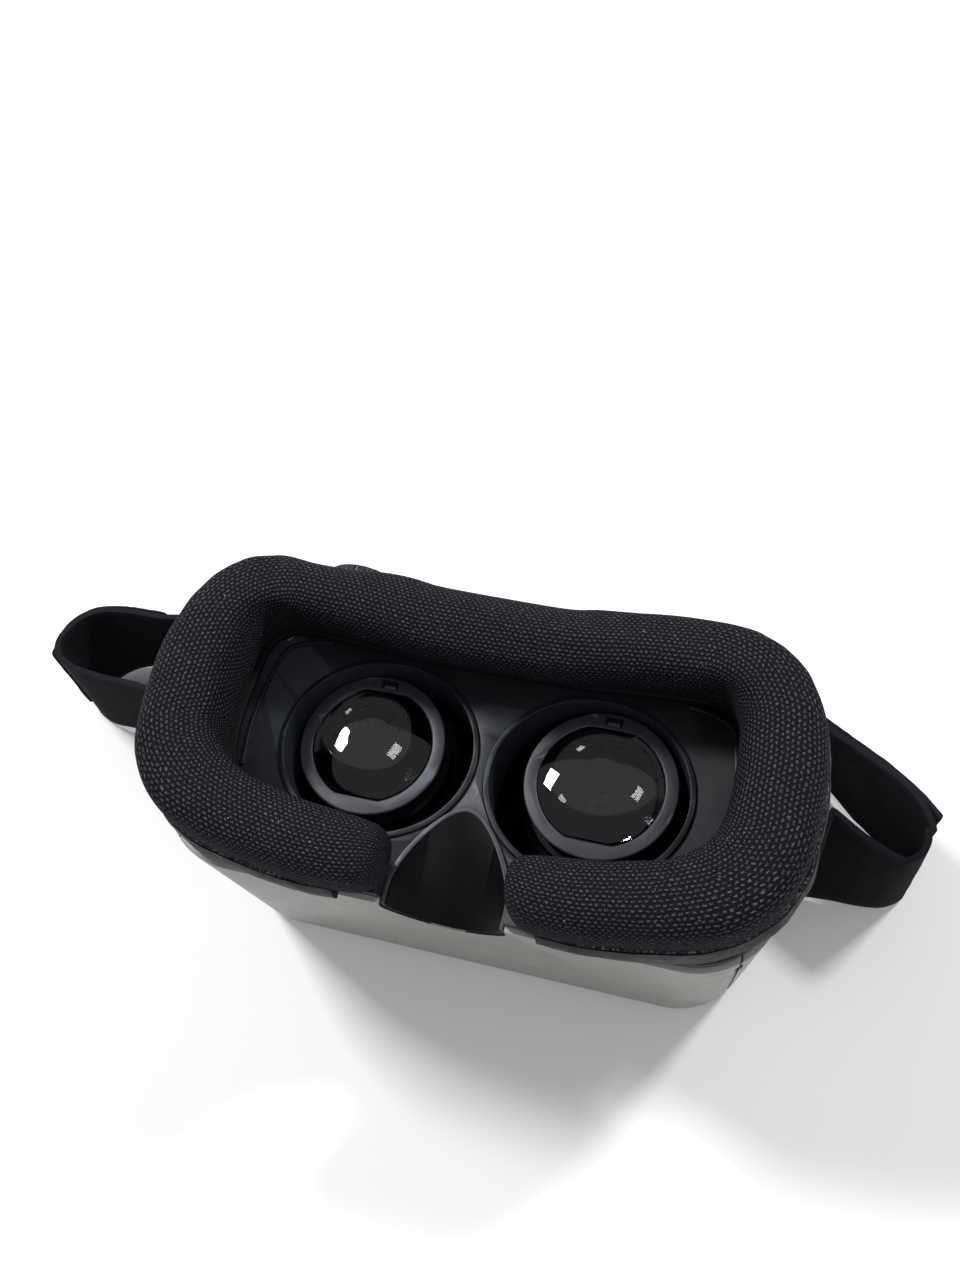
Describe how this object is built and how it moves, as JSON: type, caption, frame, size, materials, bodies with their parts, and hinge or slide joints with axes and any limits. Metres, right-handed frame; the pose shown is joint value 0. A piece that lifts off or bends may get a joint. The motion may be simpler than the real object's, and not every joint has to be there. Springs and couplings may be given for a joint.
{
  "type": "head-mounted viewing goggles",
  "caption": "Head-worn viewing goggles with a hinged front door, sprung phone clamp, focusing lens barrels, face cushion and broad strap.",
  "frame": {"origin": "middle of the front door's outer face, on which the goggles lie", "axes": "+X to the wearer's right, +Y to the forehead, +Z from the front door to the wearer's face"},
  "size_m": [0.2861, 0.1007, 0.1062],
  "materials": {
    "pale_shell": "satin",
    "black_plastic": "satin",
    "steel": "brushed",
    "lens": "clear",
    "cushion_mesh": "honeycomb mesh knit",
    "skirt_leather": "gloss, wrinkled",
    "strap_fabric": "brushed loop pile",
    "pad_rubber": "matt"
  },
  "bodies": {
    "housing": {"main_shell": "pale_shell", "side_panel_left": "pale_shell", "side_panel_right": "pale_shell", "optics_frame": "black_plastic", "eye_collar_left": "black_plastic", "eye_collar_right": "black_plastic", "nose_saddle": "black_plastic", "screen_frame": "black_plastic", "divider": "black_plastic", "guide_rod_upper": "steel", "guide_rod_lower": "steel", "hinge_pin": "steel", "frame_screw_1": "steel", "frame_screw_2": "steel", "frame_screw_3": "steel", "frame_screw_4": "steel", "face_cushion": "cushion_mesh", "cushion_skirt": "skirt_leather", "cushion_base": "black_plastic", "head_strap": "strap_fabric", "hook_tab_left": "strap_fabric", "hook_tab_right": "strap_fabric", "strap_anchor_left": "black_plastic", "strap_anchor_right": "black_plastic", "strap_bar_left": "steel", "strap_bar_right": "steel"},
    "door": {"front_door": "pale_shell", "phone_ledge": "black_plastic", "clamp_rail_left": "black_plastic", "clamp_rail_right": "black_plastic", "spring_post_left": "black_plastic", "spring_post_right": "black_plastic", "clamp_spring_left": "steel", "clamp_spring_right": "steel", "phone_pad_1": "pad_rubber", "phone_pad_2": "pad_rubber", "phone_pad_3": "pad_rubber", "phone_pad_4": "pad_rubber"},
    "clamp": {"phone_clamp": "black_plastic"},
    "carriage_left": {"carriage_left": "black_plastic"},
    "barrel_left": {"barrel_left": "black_plastic", "lens_left": "lens", "lens_ring_left": "black_plastic"},
    "knob_left": {"focus_shaft_left": "steel", "focus_knob_left": "black_plastic"},
    "carriage_right": {"carriage_right": "black_plastic"},
    "barrel_right": {"barrel_right": "black_plastic", "lens_right": "lens", "lens_ring_right": "black_plastic"},
    "knob_right": {"focus_shaft_right": "steel", "focus_knob_right": "black_plastic"}
  },
  "joints": [
    {"name": "door_hinge", "type": "hinge", "parent": "housing", "child": "door", "pos_m": [0, 0.0366, 0.0034], "axis": [1, 0, 0], "range_deg": [0, 95]},
    {"name": "clamp_slide", "type": "slide", "parent": "door", "child": "clamp", "axis": [0, 1, 0], "range_m": [0, 0.005], "stiffness_N_per_m": 350, "springref_m": -0.004, "deforming": ["clamp_spring_left", "clamp_spring_right"]},
    {"name": "spacing_slide_left", "type": "slide", "parent": "housing", "child": "carriage_left", "axis": [1, 0, 0], "range_m": [0, 0.005]},
    {"name": "focus_slide_left", "type": "slide", "parent": "carriage_left", "child": "barrel_left", "axis": [0, 0, 1], "range_m": [-0.0014, 0.0046]},
    {"name": "focus_knob_left", "type": "hinge", "parent": "carriage_left", "child": "knob_left", "pos_m": [-0.052, 0.03, 0.06], "axis": [0, 1, 0], "range_deg": [-53.3, 16.6]},
    {"name": "spacing_slide_right", "type": "slide", "parent": "housing", "child": "carriage_right", "axis": [1, 0, 0], "range_m": [-0.005, 0.001]},
    {"name": "focus_slide_right", "type": "slide", "parent": "carriage_right", "child": "barrel_right", "axis": [0, 0, 1], "range_m": [-0.0046, 0.0014]},
    {"name": "focus_knob_right", "type": "hinge", "parent": "carriage_right", "child": "knob_right", "pos_m": [0.052, 0.03, 0.06], "axis": [0, 1, 0], "range_deg": [-53.3, 16.6]}
  ],
  "couplings": [
    {"joint": "focus_knob_left", "follows": "focus_slide_left", "rad_per_m": -200},
    {"joint": "focus_knob_right", "follows": "focus_slide_right", "rad_per_m": 200}
  ]
}
